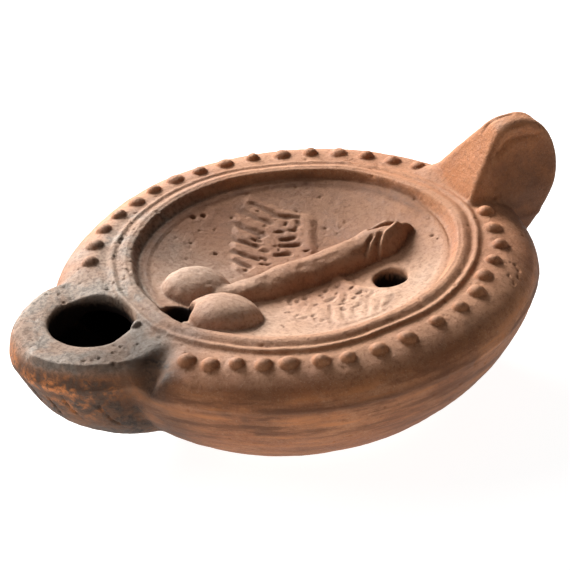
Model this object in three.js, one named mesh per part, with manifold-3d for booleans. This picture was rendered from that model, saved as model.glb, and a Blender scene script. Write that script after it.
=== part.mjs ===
// Roman mould-made oil lamp of fired clay, one piece: a hollow round body with a
// sunken relief disc, a short round nozzle and a solid fin handle.
// Millimetres, +Z up, nozzle towards -Y, handle towards +Y. The origin is on the
// underside, at the middle of the lamp's bounding box.
import * as THREE from 'three';
import { mergeVertices } from 'three/addons/utils/BufferGeometryUtils.js';
import Module from 'manifold-3d';

// ---------------------------------------------------------------- dimensions
const AXIS_Y = 0.45;          // the turning axis, so that nozzle and handle balance about y = 0
const SEG = 50;               // facets round the body

const BASE_R = 21.6;          // flat foot
const FOOT_R = 22.6;          // where the belly springs from the foot
const FOOT_H = 0.7;
const EQ_R = 41.0;            // widest, at the joint of the two mould halves
const EQ_Z = 20.4;
const BELLY_POW = 1.418;      // fullness of the lower profile
const SHOULDER_R = 32.6;      // inner edge of the shoulder
const SHOULDER_H = 5.0;       // its rise above the widest line

const RIDGE_R = 31.0, RIDGE_Z = 26.1;     // thin outer ridge
const LIP_R = 28.6, LIP_Z = 26.2;         // broad inner lip
const WALL_R = 25.1, WALL_Z = 24.1;       // foot of the cavetto
const FLOOR_Z = 20.6, FLOOR_EDGE_Z = 23.9, FLOOR_R = 24.4;  // dished floor of the disc

const WALL = 3.6;             // wall thickness
const CHAMBER_FLOOR = 4.2;    // inside bottom
const DISC_T = 3.8;           // thickness of the relief disc

const PELLET_R = 34.7, PELLET_D = 3.8, PELLET_H = 1.2;

const NOZZLE_Y = -35.3, NOZZLE_R = 15.8;  // centre and half width of the nozzle
const NOZZLE_TOP = 24.4, NOZZLE_MID = 19.5, NOZZLE_BOTTOM = 4.0, NOZZLE_EDGE = 3.2;
const NOZZLE_LEAN = 0.45;     // how far its sections move back for each mm below the middle
const WICK = { x: 0.4, y: -37.9, a: 7.4, b: 6.7 };   // wick hole, half axes
const FILL = { x: 12.1, y: 12.0, a: 3.3, b: 3.1 };   // filling hole
const VENT = { x: 6.0, y: -24.1, a: 3.05, b: 3.05 }; // small air hole

// fin handle: foot width, crest width, and the points of its rounded side outline
const HANDLE = { x0: -12.7, x1: 3.0, topX0: -4.5, topX1: 0.6, foot: 31.7, footZ: 25.0,
  rampY: 39.4, rampZ: 35.7, crestY: 43.4, crestZ: 37.3, backY: 50.15, backZ: 29.3, tailY: 43.8, tailZ: 17.5 };

// ---------------------------------------------------------------- booleans
const wasm = await Module();
wasm.setup();

// a closed three.js geometry as a solid; slivers that collapse when the shared
// vertices are merged are dropped, and a body that faces inwards is turned out
function solid(geometry, matrix) {
  let g = geometry.clone();
  if (matrix) g.applyMatrix4(matrix);
  for (const name of Object.keys(g.attributes)) if (name !== 'position') g.deleteAttribute(name);
  g = mergeVertices(g, 1e-4);
  const src = g.index.array, tri = [];
  for (let i = 0; i < src.length; i += 3) {
    const [a, b, c] = [src[i], src[i + 1], src[i + 2]];
    if (a !== b && b !== c && c !== a) tri.push(a, b, c);
  }
  const make = (t) => new wasm.Manifold(new wasm.Mesh({
    numProp: 3, vertProperties: new Float32Array(g.attributes.position.array), triVerts: new Uint32Array(t) }));
  let m = make(tri);
  if (m.volume() < 0) {
    for (let i = 0; i < tri.length; i += 3) [tri[i], tri[i + 1]] = [tri[i + 1], tri[i]];
    m = make(tri);
  }
  return m;
}

// turned round +Z from [radius, height] pairs
function turned(profile, segments = SEG) {
  const g = new THREE.LatheGeometry(profile.map(([r, z]) => new THREE.Vector2(r, z)), segments);
  g.rotateX(Math.PI / 2);
  return g;
}

// an upright cylinder with an elliptical section
function shaftHole({ x, y, a, b }, z0, z1, segments = 28, flare = 1) {
  const g = new THREE.CylinderGeometry(flare, 1, z1 - z0, segments);
  g.rotateX(Math.PI / 2).scale(a, b, 1).translate(x, y, (z0 + z1) / 2);
  return solid(g);
}

// an ellipsoid, turned about Z (then tipped about its own cross axis)
function lump(x, y, z, sx, sy, sz, turn = 0, w = 16, h = 10) {
  const g = new THREE.SphereGeometry(1, w, h);
  g.rotateX(Math.PI / 2).scale(sx, sy, sz).rotateZ(turn).translate(x, y, z);
  return solid(g);
}

const floorZ = (x, y) => FLOOR_Z + (FLOOR_EDGE_Z - FLOOR_Z) * (x * x + y * y) / (FLOOR_R * FLOOR_R);
const shoulderZ = (r) => EQ_Z + SHOULDER_H * Math.sqrt(Math.max(0, 1 - ((Math.max(r, SHOULDER_R) - SHOULDER_R) / (EQ_R - SHOULDER_R)) ** 2));

// ---------------------------------------------------------------- body, turned
function outerProfile() {
  const p = [[0, 0], [BASE_R, 0], [FOOT_R - 0.2, FOOT_H * 0.75]];
  const N = 8;
  for (let i = 1; i < N; i++) {
    const u = (i / N) * Math.PI / 2;
    p.push([FOOT_R + (EQ_R - FOOT_R) * Math.sin(u) ** BELLY_POW, EQ_Z * (1 - Math.cos(u) ** BELLY_POW) + FOOT_H * Math.cos(u) ** 2]);
  }
  p.push([EQ_R, EQ_Z]);
  for (let i = 1; i <= 6; i++) {
    const u = (i / 6) * Math.PI / 2;
    p.push([SHOULDER_R + (EQ_R - SHOULDER_R) * Math.cos(u), EQ_Z + SHOULDER_H * Math.sin(u)]);
  }
  p.push([31.95, 24.95], [31.4, 25.85], [RIDGE_R, RIDGE_Z], [30.5, 25.8], [30.0, 25.3], [29.5, 25.85],
    [LIP_R + 0.3, LIP_Z], [LIP_R - 0.5, LIP_Z - 0.05], [27.5, 25.5], [26.6, 24.5], [WALL_R + 0.5, WALL_Z + 0.15], [FLOOR_R, FLOOR_EDGE_Z]);
  for (const r of [17, 8.5]) p.push([r, floorZ(r, 0)]);
  p.push([0, FLOOR_Z]);
  return p;
}

// fin handle: a rounded side outline cut to a tapering front outline
function handleSolid() {
  const h = HANDLE;
  const side = new THREE.Path();
  side.moveTo(h.foot, h.footZ - 0.6);
  side.lineTo(h.rampY, h.rampZ);
  side.quadraticCurveTo(h.rampY + 1.2, h.crestZ, h.crestY, h.crestZ);
  side.bezierCurveTo(h.crestY + 4.4, h.crestZ, h.backY + 0.1, h.backZ + 4.4, h.backY, h.backZ);
  side.bezierCurveTo(h.backY - 0.1, h.backZ - 3.7, h.tailY + 3.8, h.tailZ + 3.9, h.tailY, h.tailZ);
  side.lineTo(39.6, 13.2);
  const outline = new THREE.Shape([...side.getPoints(7), new THREE.Vector2(36, 12.5), new THREE.Vector2(30.5, 20)]);
  // shape x runs along Y and shape y along Z; the sheet is 40 mm thick along X
  const sideG = new THREE.ExtrudeGeometry(outline, { depth: 40, bevelEnabled: false, steps: 1 });
  const M = new THREE.Matrix4().set(0, 0, 1, -20, 1, 0, 0, 0, 0, 1, 0, 0, 0, 0, 0, 1);
  const front = new THREE.Shape();
  front.moveTo(h.x0 - 0.4, 5).lineTo(h.x1 + 0.4, 5).lineTo(h.x1, h.footZ);
  front.lineTo(h.topX1, h.crestZ - 1.0).lineTo(h.topX1 - 0.9, h.crestZ + 0.3).lineTo(h.topX0 + 0.9, h.crestZ + 0.3).lineTo(h.topX0, h.crestZ - 1.0);
  front.lineTo(h.x0, h.footZ).closePath();
  const frontG = new THREE.ExtrudeGeometry(front, { depth: 60, bevelEnabled: false, steps: 1 });
  const F = new THREE.Matrix4().set(1, 0, 0, 0, 0, 0, 1, 10, 0, 1, 0, 0, 0, 0, 0, 1);
  return solid(sideG, M).intersect(solid(frontG, F));
}

// nozzle: turned bowl, leant back towards the body and drawn out into it
function nozzleSolid() {
  const p = [[0, NOZZLE_BOTTOM]];
  for (let i = 1; i <= 8; i++) {
    const t = i / 8 * Math.PI / 2;
    p.push([NOZZLE_R * Math.sin(t), NOZZLE_BOTTOM + (NOZZLE_MID - NOZZLE_BOTTOM) * (1 - Math.cos(t) ** 0.55)]);
  }
  for (let i = 1; i <= 4; i++) {
    const t = i / 4 * Math.PI / 2;
    p.push([NOZZLE_R - NOZZLE_EDGE * (1 - Math.cos(t)), NOZZLE_MID + (NOZZLE_TOP - NOZZLE_MID) * Math.sin(t)]);
  }
  p.push([0, NOZZLE_TOP]);
  const g = turned(p, 40);
  const a = g.attributes.position;
  for (let i = 0; i < a.count; i++) {
    const z = a.getZ(i);
    a.setY(i, a.getY(i) + NOZZLE_Y + Math.max(0, NOZZLE_MID - z) * NOZZLE_LEAN);
  }
  return solid(g);
}

// ---------------------------------------------------------------- relief
// pellets round the shoulder, one run each side between nozzle and handle
// the near run strays from the circle: turn in degrees and outward shift of each
const STRAY = [[0, 1.2], [0, 0.9], [0, 0.4], [0, 0], [-0.8, -0.2], [0, 0.2], [-0.7, 0], [-0.5, 0.2], [-0.7, -0.1],
  [0, -0.9], [-0.5, -0.4], [0.3, -0.4], [1.0, -1.3], [0.8, -0.4], [0, 0], [-0.9, -0.6], [-1.8, -0.3]];
function pelletAngles() {
  const out = [-93.9, -78.7];
  for (let i = 0; i < 17; i++) out.push(-54.6 + 6.6 * i + 0.12 * i * i + 3.6 * Math.exp(-(((i - 10) / 1.8) ** 2)) + STRAY[i][0]);
  for (let i = 0; i < 16; i++) out.push(115 + 8.5 * i - 2.0 * Math.exp(-(((i - 12) / 2.6) ** 2)));
  return out;
}

function reliefSolids() {
  const s = [];
  // shaft, glans and the two oval lumps at its root
  s.push(lump(1.5, 1.5, floorZ(1, 2) - 0.4, 3.9, 17.5, 3.9, 0.02, 14, 10));
  s.push(lump(2.4, 16.0, floorZ(2, 16) - 0.2, 4.2, 5.2, 3.5, 0.1, 12, 8));
  s.push(lump(-1.7, -17.0, floorZ(1, 17) - 0.2, 5.6, 6.3, 4.2, 0.35, 12, 8));
  s.push(lump(9.4, -17.1, floorZ(9, 17) - 0.2, 6.2, 6.3, 4.4, -0.5, 12, 8));
  // wings: a leading bar and six long feathers on each side
  for (const side of [-1, 1]) {
    const bar = side < 0 ? lump(-8.9, 6.8, floorZ(9, 7), 6.2, 1.5, 1.0, -0.42, 8, 4)
      : lump(12.5, 6.4, floorZ(12, 6), 6.2, 1.4, 0.8, 0.3, 8, 4);
    s.push(bar);
    for (let k = 0; k < 6; k++) {
      const L = 5.2 - 0.45 * k, cx = side * (16.2 - 2.2 * k) + (side < 0 ? 1.5 : 3.0), cy = 3.6 - 2.1 * k;
      s.push(lump(cx, cy, floorZ(cx, cy) - 0.05, L, 0.95, side < 0 ? 0.95 : 0.6, side * -0.5, 8, 4));
    }
  }
  return s;
}

// ---------------------------------------------------------------- assembly
function lampBody() {
  let body = solid(turned(outerProfile()));
  // nozzle and handle stay outside the ring round the disc
  const ring = solid(turned([[0, 17], [31.9, 17], [31.9, 60], [0, 60]], SEG));
  body = body.add(nozzleSolid().subtract(ring)).add(handleSolid().subtract(ring));

  for (const [k, deg] of pelletAngles().entries()) {
    const t = deg * Math.PI / 180, small = deg < -70;
    const r = small ? 32.9 : PELLET_R + (k < 19 ? STRAY[k - 2][1] : 0), d = small ? 2.6 : PELLET_D, h = small ? 1.0 : PELLET_H;
    const g = new THREE.SphereGeometry(1, 8, 4);
    g.rotateX(Math.PI / 2).scale(d / 2 * 1.12, d / 2 * 1.12, h + 0.9).rotateY(0.16).translate(r, 0, shoulderZ(r) - 0.9).rotateZ(t);
    body = body.add(solid(g));
  }
  const dish = solid(turned([[0, 15], [FLOOR_R, 15], [FLOOR_R, 40], [0, 40]], SEG));
  for (const piece of reliefSolids()) body = body.add(piece.intersect(dish));

  // oil chamber, with the disc for its roof
  const under = (r) => FLOOR_Z - DISC_T + (FLOOR_EDGE_Z - FLOOR_Z) * (r / FLOOR_R) ** 2;
  const inner = [[0, CHAMBER_FLOOR], [17, CHAMBER_FLOOR]];
  for (let i = 1; i <= 5; i++) {
    const u = (i / 5) * Math.PI / 2;
    inner.push([17 + (EQ_R - WALL - 17) * Math.sin(u) ** BELLY_POW, CHAMBER_FLOOR + (EQ_Z - CHAMBER_FLOOR) * (1 - Math.cos(u) ** BELLY_POW)]);
  }
  inner.push([36.2, 21.6], [33.4, 22.0], [27, 21.4], [24.5, under(24.5)], [17, under(17)], [9, under(9)], [0, under(0)]);
  body = body.subtract(solid(turned(inner, 40)));

  // nozzle channel: the wick hole drops into a pocket that runs back to the chamber
  const pocket = new THREE.SphereGeometry(1, 20, 12);
  pocket.rotateX(Math.PI / 2).scale(9.6, 11.5, 6.4).translate(0.3, -35.2, 15.6);
  const neck = new THREE.CylinderGeometry(1, 1, 14, 20);
  neck.scale(7.8, 1, 5.2).translate(0.3, -30.5, 15.2);
  body = body.subtract(solid(pocket)).subtract(solid(neck));
  body = body.subtract(shaftHole(WICK, 15, 30, 28, 1.03));
  body = body.subtract(shaftHole(FILL, 14, 30, 20, 1.04));
  body = body.subtract(shaftHole(VENT, 14, 26.4, 18, 1.0));

  // a turned groove marks off the foot on the underside
  const groove = solid(turned([[17.6, -1], [18.6, -1], [18.3, 0.5], [17.9, 0.5], [17.6, -1]], 40));
  return body.subtract(groove);
}

const fired = lampBody().getMesh();
const geometry = new THREE.BufferGeometry();
geometry.setAttribute('position', new THREE.BufferAttribute(new Float32Array(fired.vertProperties), 3));
geometry.setIndex(new THREE.BufferAttribute(new Uint32Array(fired.triVerts), 1));
geometry.computeVertexNormals();

const clay = new THREE.MeshStandardMaterial({ color: 0xb4805f, roughness: 0.88, metalness: 0.0 });
const lamp = new THREE.Mesh(geometry, clay);
lamp.name = 'lamp_body';
lamp.position.set(0, AXIS_Y, 0);

const object = new THREE.Group();
object.add(lamp);
export default object;
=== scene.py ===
import math

import bpy
import numpy as np
from mathutils import Matrix, Vector


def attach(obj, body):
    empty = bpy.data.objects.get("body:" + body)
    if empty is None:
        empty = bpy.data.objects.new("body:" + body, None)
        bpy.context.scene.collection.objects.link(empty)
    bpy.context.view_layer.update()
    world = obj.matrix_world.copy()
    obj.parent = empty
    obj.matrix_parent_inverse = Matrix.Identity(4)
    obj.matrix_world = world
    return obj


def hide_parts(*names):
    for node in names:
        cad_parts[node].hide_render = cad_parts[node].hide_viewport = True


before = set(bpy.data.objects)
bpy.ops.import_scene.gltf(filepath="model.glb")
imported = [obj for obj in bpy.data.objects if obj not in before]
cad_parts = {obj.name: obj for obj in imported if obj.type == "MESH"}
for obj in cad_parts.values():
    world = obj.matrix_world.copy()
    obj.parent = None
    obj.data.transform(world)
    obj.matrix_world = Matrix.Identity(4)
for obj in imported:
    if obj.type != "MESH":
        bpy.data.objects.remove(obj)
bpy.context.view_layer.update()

# The lamp is one implicit solid: turned profiles, a leant nozzle, a fin handle and a relief height
# map, joined softly, hollowed, and then worn. Everything here is in millimetres with the turning
# axis on x = y = 0; the mesh is moved to the row frame at the end.
AXIS_Y = 0.45
F = np.float32

BASE_R, FOOT_R, FOOT_H = 21.6, 22.6, 0.7
EQ_R, EQ_Z, BELLY_POW = 41.0, 20.4, 1.418
SHOULDER_R, SHOULDER_H = 32.6, 5.0
FLOOR_Z, FLOOR_EDGE_Z, FLOOR_R = 20.6, 23.9, 24.4
WALL, CHAMBER_FLOOR, DISC_T = 3.6, 4.2, 3.8
PELLET_R, PELLET_D, PELLET_H = 34.7, 2.95, 1.05
NOZZLE_Y, NOZZLE_R = -35.3, 15.8
NOZZLE_TOP, NOZZLE_MID, NOZZLE_BOTTOM, NOZZLE_EDGE, NOZZLE_LEAN = 24.4, 19.5, 4.0, 3.2, 0.45
WICK = (0.6, -37.6, 7.4, 6.8)
FILL = (12.1, 12.0, 3.1, 2.9)
VENT = (6.0, -24.1, 2.85, 2.85)
VOXEL = 0.26
TRIANGLES = 192000


# ------------------------------------------------------------------ noise
def _hash(i, j, k, seed):
    h = (i * np.uint32(374761393)) ^ (j * np.uint32(668265263)) ^ (k * np.uint32(2246822519)) ^ np.uint32((seed * 3266489917 + 12345) & 0xFFFFFFFF)
    h ^= h >> np.uint32(15)
    h *= np.uint32(2246822519)
    h ^= h >> np.uint32(13)
    h *= np.uint32(3266489917)
    h ^= h >> np.uint32(16)
    return h.astype(F) * F(1.0 / 4294967295.0)


def noise(x, y, z, size, seed=0):
    """Smooth value noise from -1 to 1, with lumps about size mm across."""
    s = F(1.0 / size)
    px, py, pz = x * s + F(seed * 7.31), y * s + F(seed * 3.17), z * s + F(seed * 5.53)
    fx, fy, fz = np.floor(px), np.floor(py), np.floor(pz)
    i, j, k = (a.astype(np.int64).astype(np.uint32) for a in (fx, fy, fz))
    u, v, w = px - fx, py - fy, pz - fz
    u, v, w = (t * t * t * (t * (t * 6 - 15) + 10) for t in (u, v, w))
    one = np.uint32(1)
    out = 0
    for di, wu in ((0, 1 - u), (1, u)):
        for dj, wv in ((0, 1 - v), (1, v)):
            for dk, ww in ((0, 1 - w), (1, w)):
                out = out + _hash(i + one * np.uint32(di), j + one * np.uint32(dj), k + one * np.uint32(dk), seed) * (wu * wv * ww)
    return out * F(2) - F(1)


def fbm(x, y, z, size, octaves, seed=0, fall=0.5):
    out, amp, total = 0, 1.0, 0.0
    for o in range(octaves):
        out = out + F(amp) * noise(x, y, z, size / 2 ** o, seed + 17 * o)
        total += amp
        amp *= fall
    return out / F(total)


def smoothstep(a, b, x):
    t = np.clip((x - a) / (b - a), 0, 1)
    return t * t * (3 - 2 * t)


def smin(a, b, k):
    h = np.clip(0.5 + 0.5 * (b - a) / k, 0, 1)
    return b + (a - b) * h - k * h * (1 - h)


def smax(a, b, k):
    return -smin(-a, -b, k)


# ------------------------------------------------------------------ 2-D outlines as distance tables
class Outline:
    """Signed distance to a closed outline, looked up in a table. Negative inside."""

    def __init__(self, pts, lo, hi, step=0.12):
        pts = np.array(pts, float)
        self.lo, self.step = lo, step
        nu, nv = int((hi[0] - lo[0]) / step) + 2, int((hi[1] - lo[1]) / step) + 2
        u = (lo[0] + step * np.arange(nu))[:, None]
        v = (lo[1] + step * np.arange(nv))[None, :]
        best = np.full((nu, nv), 1e9)
        inside = np.zeros((nu, nv), bool)
        for a, b in zip(pts, np.roll(pts, -1, 0)):
            d = b - a
            L = d @ d
            if L < 1e-12:
                continue
            t = np.clip(((u - a[0]) * d[0] + (v - a[1]) * d[1]) / L, 0, 1)
            best = np.minimum(best, (u - a[0] - t * d[0]) ** 2 + (v - a[1] - t * d[1]) ** 2)
            if a[1] != b[1]:
                cross = (a[1] > v) != (b[1] > v)
                inside ^= cross & (u < d[0] * (v - a[1]) / d[1] + a[0])
        self.table = (np.sqrt(best) * np.where(inside, -1, 1)).astype(F)
        self.shape = self.table.shape

    def __call__(self, u, v):
        a = (u - F(self.lo[0])) * F(1 / self.step)
        b = (v - F(self.lo[1])) * F(1 / self.step)
        a1 = np.clip(a, 0, self.shape[0] - 1.001)
        b1 = np.clip(b, 0, self.shape[1] - 1.001)
        far = np.hypot(a - a1, b - b1) * F(self.step)
        i, j = a1.astype(np.int32), b1.astype(np.int32)
        s, t = a1 - i, b1 - j
        T = self.table
        return (T[i, j] * (1 - s) + T[i + 1, j] * s) * (1 - t) + (T[i, j + 1] * (1 - s) + T[i + 1, j + 1] * s) * t + far


def curve(pts, n=8):
    """A smooth open curve through the points."""
    p = np.array([2 * np.array(pts[0]) - np.array(pts[1])] + list(pts) + [2 * np.array(pts[-1]) - np.array(pts[-2])], float)
    out = []
    for k in range(1, len(p) - 2):
        for t in np.arange(n) / n:
            out.append(0.5 * (2 * p[k] + (p[k + 1] - p[k - 1]) * t + (2 * p[k - 1] - 5 * p[k] + 4 * p[k + 1] - p[k + 2]) * t * t
                              + (3 * p[k] - p[k - 1] - 3 * p[k + 1] + p[k + 2]) * t ** 3))
    out.append(p[-2])
    return [tuple(q) for q in out]


def floor_z(r):
    return FLOOR_Z + (FLOOR_EDGE_Z - FLOOR_Z) * (r / FLOOR_R) ** 2


def body_outline():
    p = [(-12, 0), (17.7, 0), (17.9, 0.45), (18.1, 0.5), (18.3, 0.45), (18.6, 0), (BASE_R - 0.3, 0), (BASE_R + 0.3, 0.15), (FOOT_R - 0.2, FOOT_H * 0.8)]
    for i in range(1, 60):
        u = (i / 60) * math.pi / 2
        p.append((FOOT_R + (EQ_R - FOOT_R) * math.sin(u) ** BELLY_POW, EQ_Z * (1 - math.cos(u) ** BELLY_POW) + FOOT_H * math.cos(u) ** 2))
    for i in range(0, 30):
        u = (i / 30) * math.pi / 2
        p.append((SHOULDER_R + (EQ_R - SHOULDER_R) * math.cos(u), EQ_Z + SHOULDER_H * math.sin(u)))
    p += curve([(33.2, 25.36), (32.5, 25.36), (31.95, 25.36), (31.6, 25.5), (31.3, 25.76), (31.0, 25.93), (30.7, 25.9), (30.4, 25.76), (30.05, 25.7), (29.7, 25.86), (29.35, 26.06), (28.95, 26.2), (28.5, 26.28),
                (28.22, 26.14), (28.0, 26.2), (27.7, 26.1), (27.35, 25.75), (26.9, 25.15), (26.3, 24.6), (25.7, 24.36), (25.2, 24.36), (24.9, 24.24), (24.68, 23.85), (24.5, 23.5), (24.3, 23.42), (24.1, 23.55), (23.9, floor_z(23.9) - 0.03), (23.5, floor_z(23.5))], 6)
    for r in np.linspace(23, 0, 40):
        p.append((r, floor_z(r)))
    return p + [(-12, floor_z(0))]  # closed past the axis, so that the axis is no edge


def nozzle_outline():
    p = [(-8, NOZZLE_BOTTOM), (0, NOZZLE_BOTTOM)]
    for i in range(1, 40):
        t = i / 40 * math.pi / 2
        p.append((NOZZLE_R * math.sin(t), NOZZLE_BOTTOM + (NOZZLE_MID - NOZZLE_BOTTOM) * (1 - math.cos(t) ** 0.55)))
    for i in range(0, 25):
        t = i / 24 * math.pi / 2
        p.append((NOZZLE_R - NOZZLE_EDGE * (1 - math.cos(t)), NOZZLE_MID + (NOZZLE_TOP - NOZZLE_MID) * math.sin(t)))
    p += [(10, NOZZLE_TOP + 0.25), (7, NOZZLE_TOP + 0.1), (0, NOZZLE_TOP - 0.2), (-8, NOZZLE_TOP - 0.2)]
    return p


def bezier(a, b, c, d, n=16):
    t = (np.arange(n) / n)[:, None]
    a, b, c, d = map(np.array, (a, b, c, d))
    return [tuple(q) for q in (1 - t) ** 3 * a + 3 * (1 - t) ** 2 * t * b + 3 * (1 - t) * t * t * c + t ** 3 * d]


def handle_side():
    p = [(31.7, 24.4), (35.4, 30.1)]
    p += bezier((39.4, 35.7), (40.2, 36.8), (41.6, 37.3), (43.4, 37.3))
    p += bezier((43.4, 37.3), (47.8, 37.3), (50.25, 33.7), (50.15, 29.3))
    p += bezier((50.15, 29.3), (50.05, 25.6), (47.6, 21.4), (43.8, 17.5))
    p += [(43.8, 17.5), (39.6, 13.2), (36, 12.5), (30.5, 20)]
    return p


def handle_front():
    return [(-13.1, 5), (3.4, 5), (3.05, 25), (0.7, 36.3), (-0.3, 37.8), (-3.6, 37.8), (-4.5, 36.3), (-12.7, 25)]


def chamber_outline():
    p = [(-12, CHAMBER_FLOOR), (17, CHAMBER_FLOOR)]
    for i in range(1, 21):
        u = (i / 20) * math.pi / 2
        p.append((17 + (EQ_R - WALL - 17) * math.sin(u) ** BELLY_POW, CHAMBER_FLOOR + (EQ_Z - CHAMBER_FLOOR) * (1 - math.cos(u) ** BELLY_POW)))
    p += [(36.2, 21.6), (33.4, 22.0), (27, 21.4)]
    for r in np.linspace(24.5, 0, 12):
        p.append((r, floor_z(r) - DISC_T))
    return p + [(-12, floor_z(0) - DISC_T)]


BODY = Outline(body_outline(), (0, -3), (48, 32), 0.1)
NOZ = Outline(nozzle_outline(), (0, 0), (22, 30), 0.12)
SIDE = Outline(handle_side(), (26, 8), (56, 42), 0.12)
FRONT = Outline(handle_front(), (-20, 4), (10, 42), 0.12)
CHAMBER = Outline(chamber_outline(), (0, 1), (44, 26), 0.15)


# ------------------------------------------------------------------ relief height map of the disc
HM_STEP, HM_R = 0.06, 27.0


def along(x, y, a, b):
    """Distance to the segment a-b, and how far along it (0 to 1)."""
    dx, dy = b[0] - a[0], b[1] - a[1]
    t = np.clip(((x - a[0]) * dx + (y - a[1]) * dy) / (dx * dx + dy * dy), 0, 1)
    return np.hypot(x - a[0] - t * dx, y - a[1] - t * dy), t


def dome(q, power=2.0, edge=0.5):
    """Height share of a rounded lump at q, its share of the half width."""
    return np.clip(1 - np.clip(q, 0, 1) ** power, 0, 1) ** edge


def lump(x, y, cx, cy, a, b, turn, power=2.0, edge=0.5):
    c, s = math.cos(turn), math.sin(turn)
    u, v = (x - cx) * c + (y - cy) * s, -(x - cx) * s + (y - cy) * c
    return dome(np.hypot(u / a, v / b), power, edge)


def polygon_distance(x, y, pts):
    o = Outline(pts, (-HM_R, -HM_R), (HM_R, HM_R), 0.1)
    return o(x.astype(F), y.astype(F))


# the wings of the relief: outlines, leading edges and cuts (points, depth, half width), in plan
LEFT_CUTS = [
    ([(-21.57, 2.15), (-20.53, 3.07), (-19.10, 3.61), (-17.67, 4.24), (-16.71, 4.65), (-15.74, 5.47), (-15.05, 6.37), (-14.16, 7.68)], 0.85, 0.42),
    ([(-22.24, 0.44), (-21.96, 0.44)], 0.5, 0.35),
    ([(-21.29, -0.34), (-20.35, 0.18), (-18.93, 0.82), (-17.69, 1.34), (-16.54, 2.07), (-15.48, 2.79)], 0.9, 0.48),
    ([(-21.20, -0.34), (-19.88, -0.60), (-18.74, -0.18)], 0.35, 0.2),
    ([(-15.06, 1.50), (-14.96, 1.80)], 0.5, 0.28),
    ([(-17.59, -2.26), (-16.44, -1.93), (-15.30, -1.21), (-14.34, -0.59), (-13.37, -0.17), (-12.89, -0.27)], 1.0, 0.55),
    ([(-18.54, -2.68), (-18.35, -2.47)], 0.45, 0.3),
    ([(-13.57, 0.72), (-12.89, 0.33)], 0.55, 0.4),
    ([(-12.69, -1.96), (-11.44, -1.04)], 0.5, 0.35),
    ([(-14.79, -4.41), (-13.93, -4.60), (-12.68, -3.87), (-11.82, -3.16), (-10.95, -2.64), (-10.37, -2.33)], 1.0, 0.46),
    ([(-11.00, -6.26), (-10.04, -5.85), (-8.88, -5.03), (-7.71, -4.31), (-6.64, -3.50)], 1.05, 0.44),
    ([(-8.83, -7.85), (-8.06, -7.44), (-6.89, -7.02), (-5.82, -6.41), (-5.14, -6.00)], 0.75, 0.5),
    ([(-4.52, -7.11), (-4.43, -6.80)], 0.5, 0.3),
    ([(-13.40, 7.10), (-12.54, 7.11)], 0.6, 0.38),
    ([(-12.26, 6.32), (-12.07, 6.22)], 0.45, 0.22),
    ([(-14.20, 5.40), (-13.73, 4.91)], 0.6, 0.26),
    ([(-12.79, 2.73), (-12.30, 3.64)], 0.65, 0.36),
    ([(-12.09, 4.93), (-11.59, 5.63)], 0.7, 0.4),
    ([(-10.46, 2.66), (-10.07, 3.37), (-9.76, 4.56)], 0.75, 0.42),
    ([(-8.81, 1.59), (-8.12, 2.79), (-7.72, 3.69), (-7.42, 4.39)], 0.85, 0.46),
    ([(-9.20, 0.48), (-8.91, 0.69)], 0.4, 0.28),
    ([(-8.23, 0.99), (-7.64, 0.70)], 0.4, 0.24),
    ([(-6.56, -0.29), (-6.17, 0.81), (-5.77, 1.81)], 0.85, 0.5),
    ([(-8.81, -1.81), (-8.23, -1.21)], 0.6, 0.4),
    ([(-6.36, -2.39), (-6.06, -2.79)], 0.5, 0.26),
    ([(-7.04, -3.00), (-6.75, -2.80)], 0.45, 0.24),
    ([(-5.07, -3.89), (-4.87, -3.49)], 0.5, 0.24),
    ([(-4.48, -3.18), (-4.49, -2.48)], 0.4, 0.24),
    ([(-5.06, 4.41), (-4.86, 5.01)], 0.5, 0.24),
]
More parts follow.
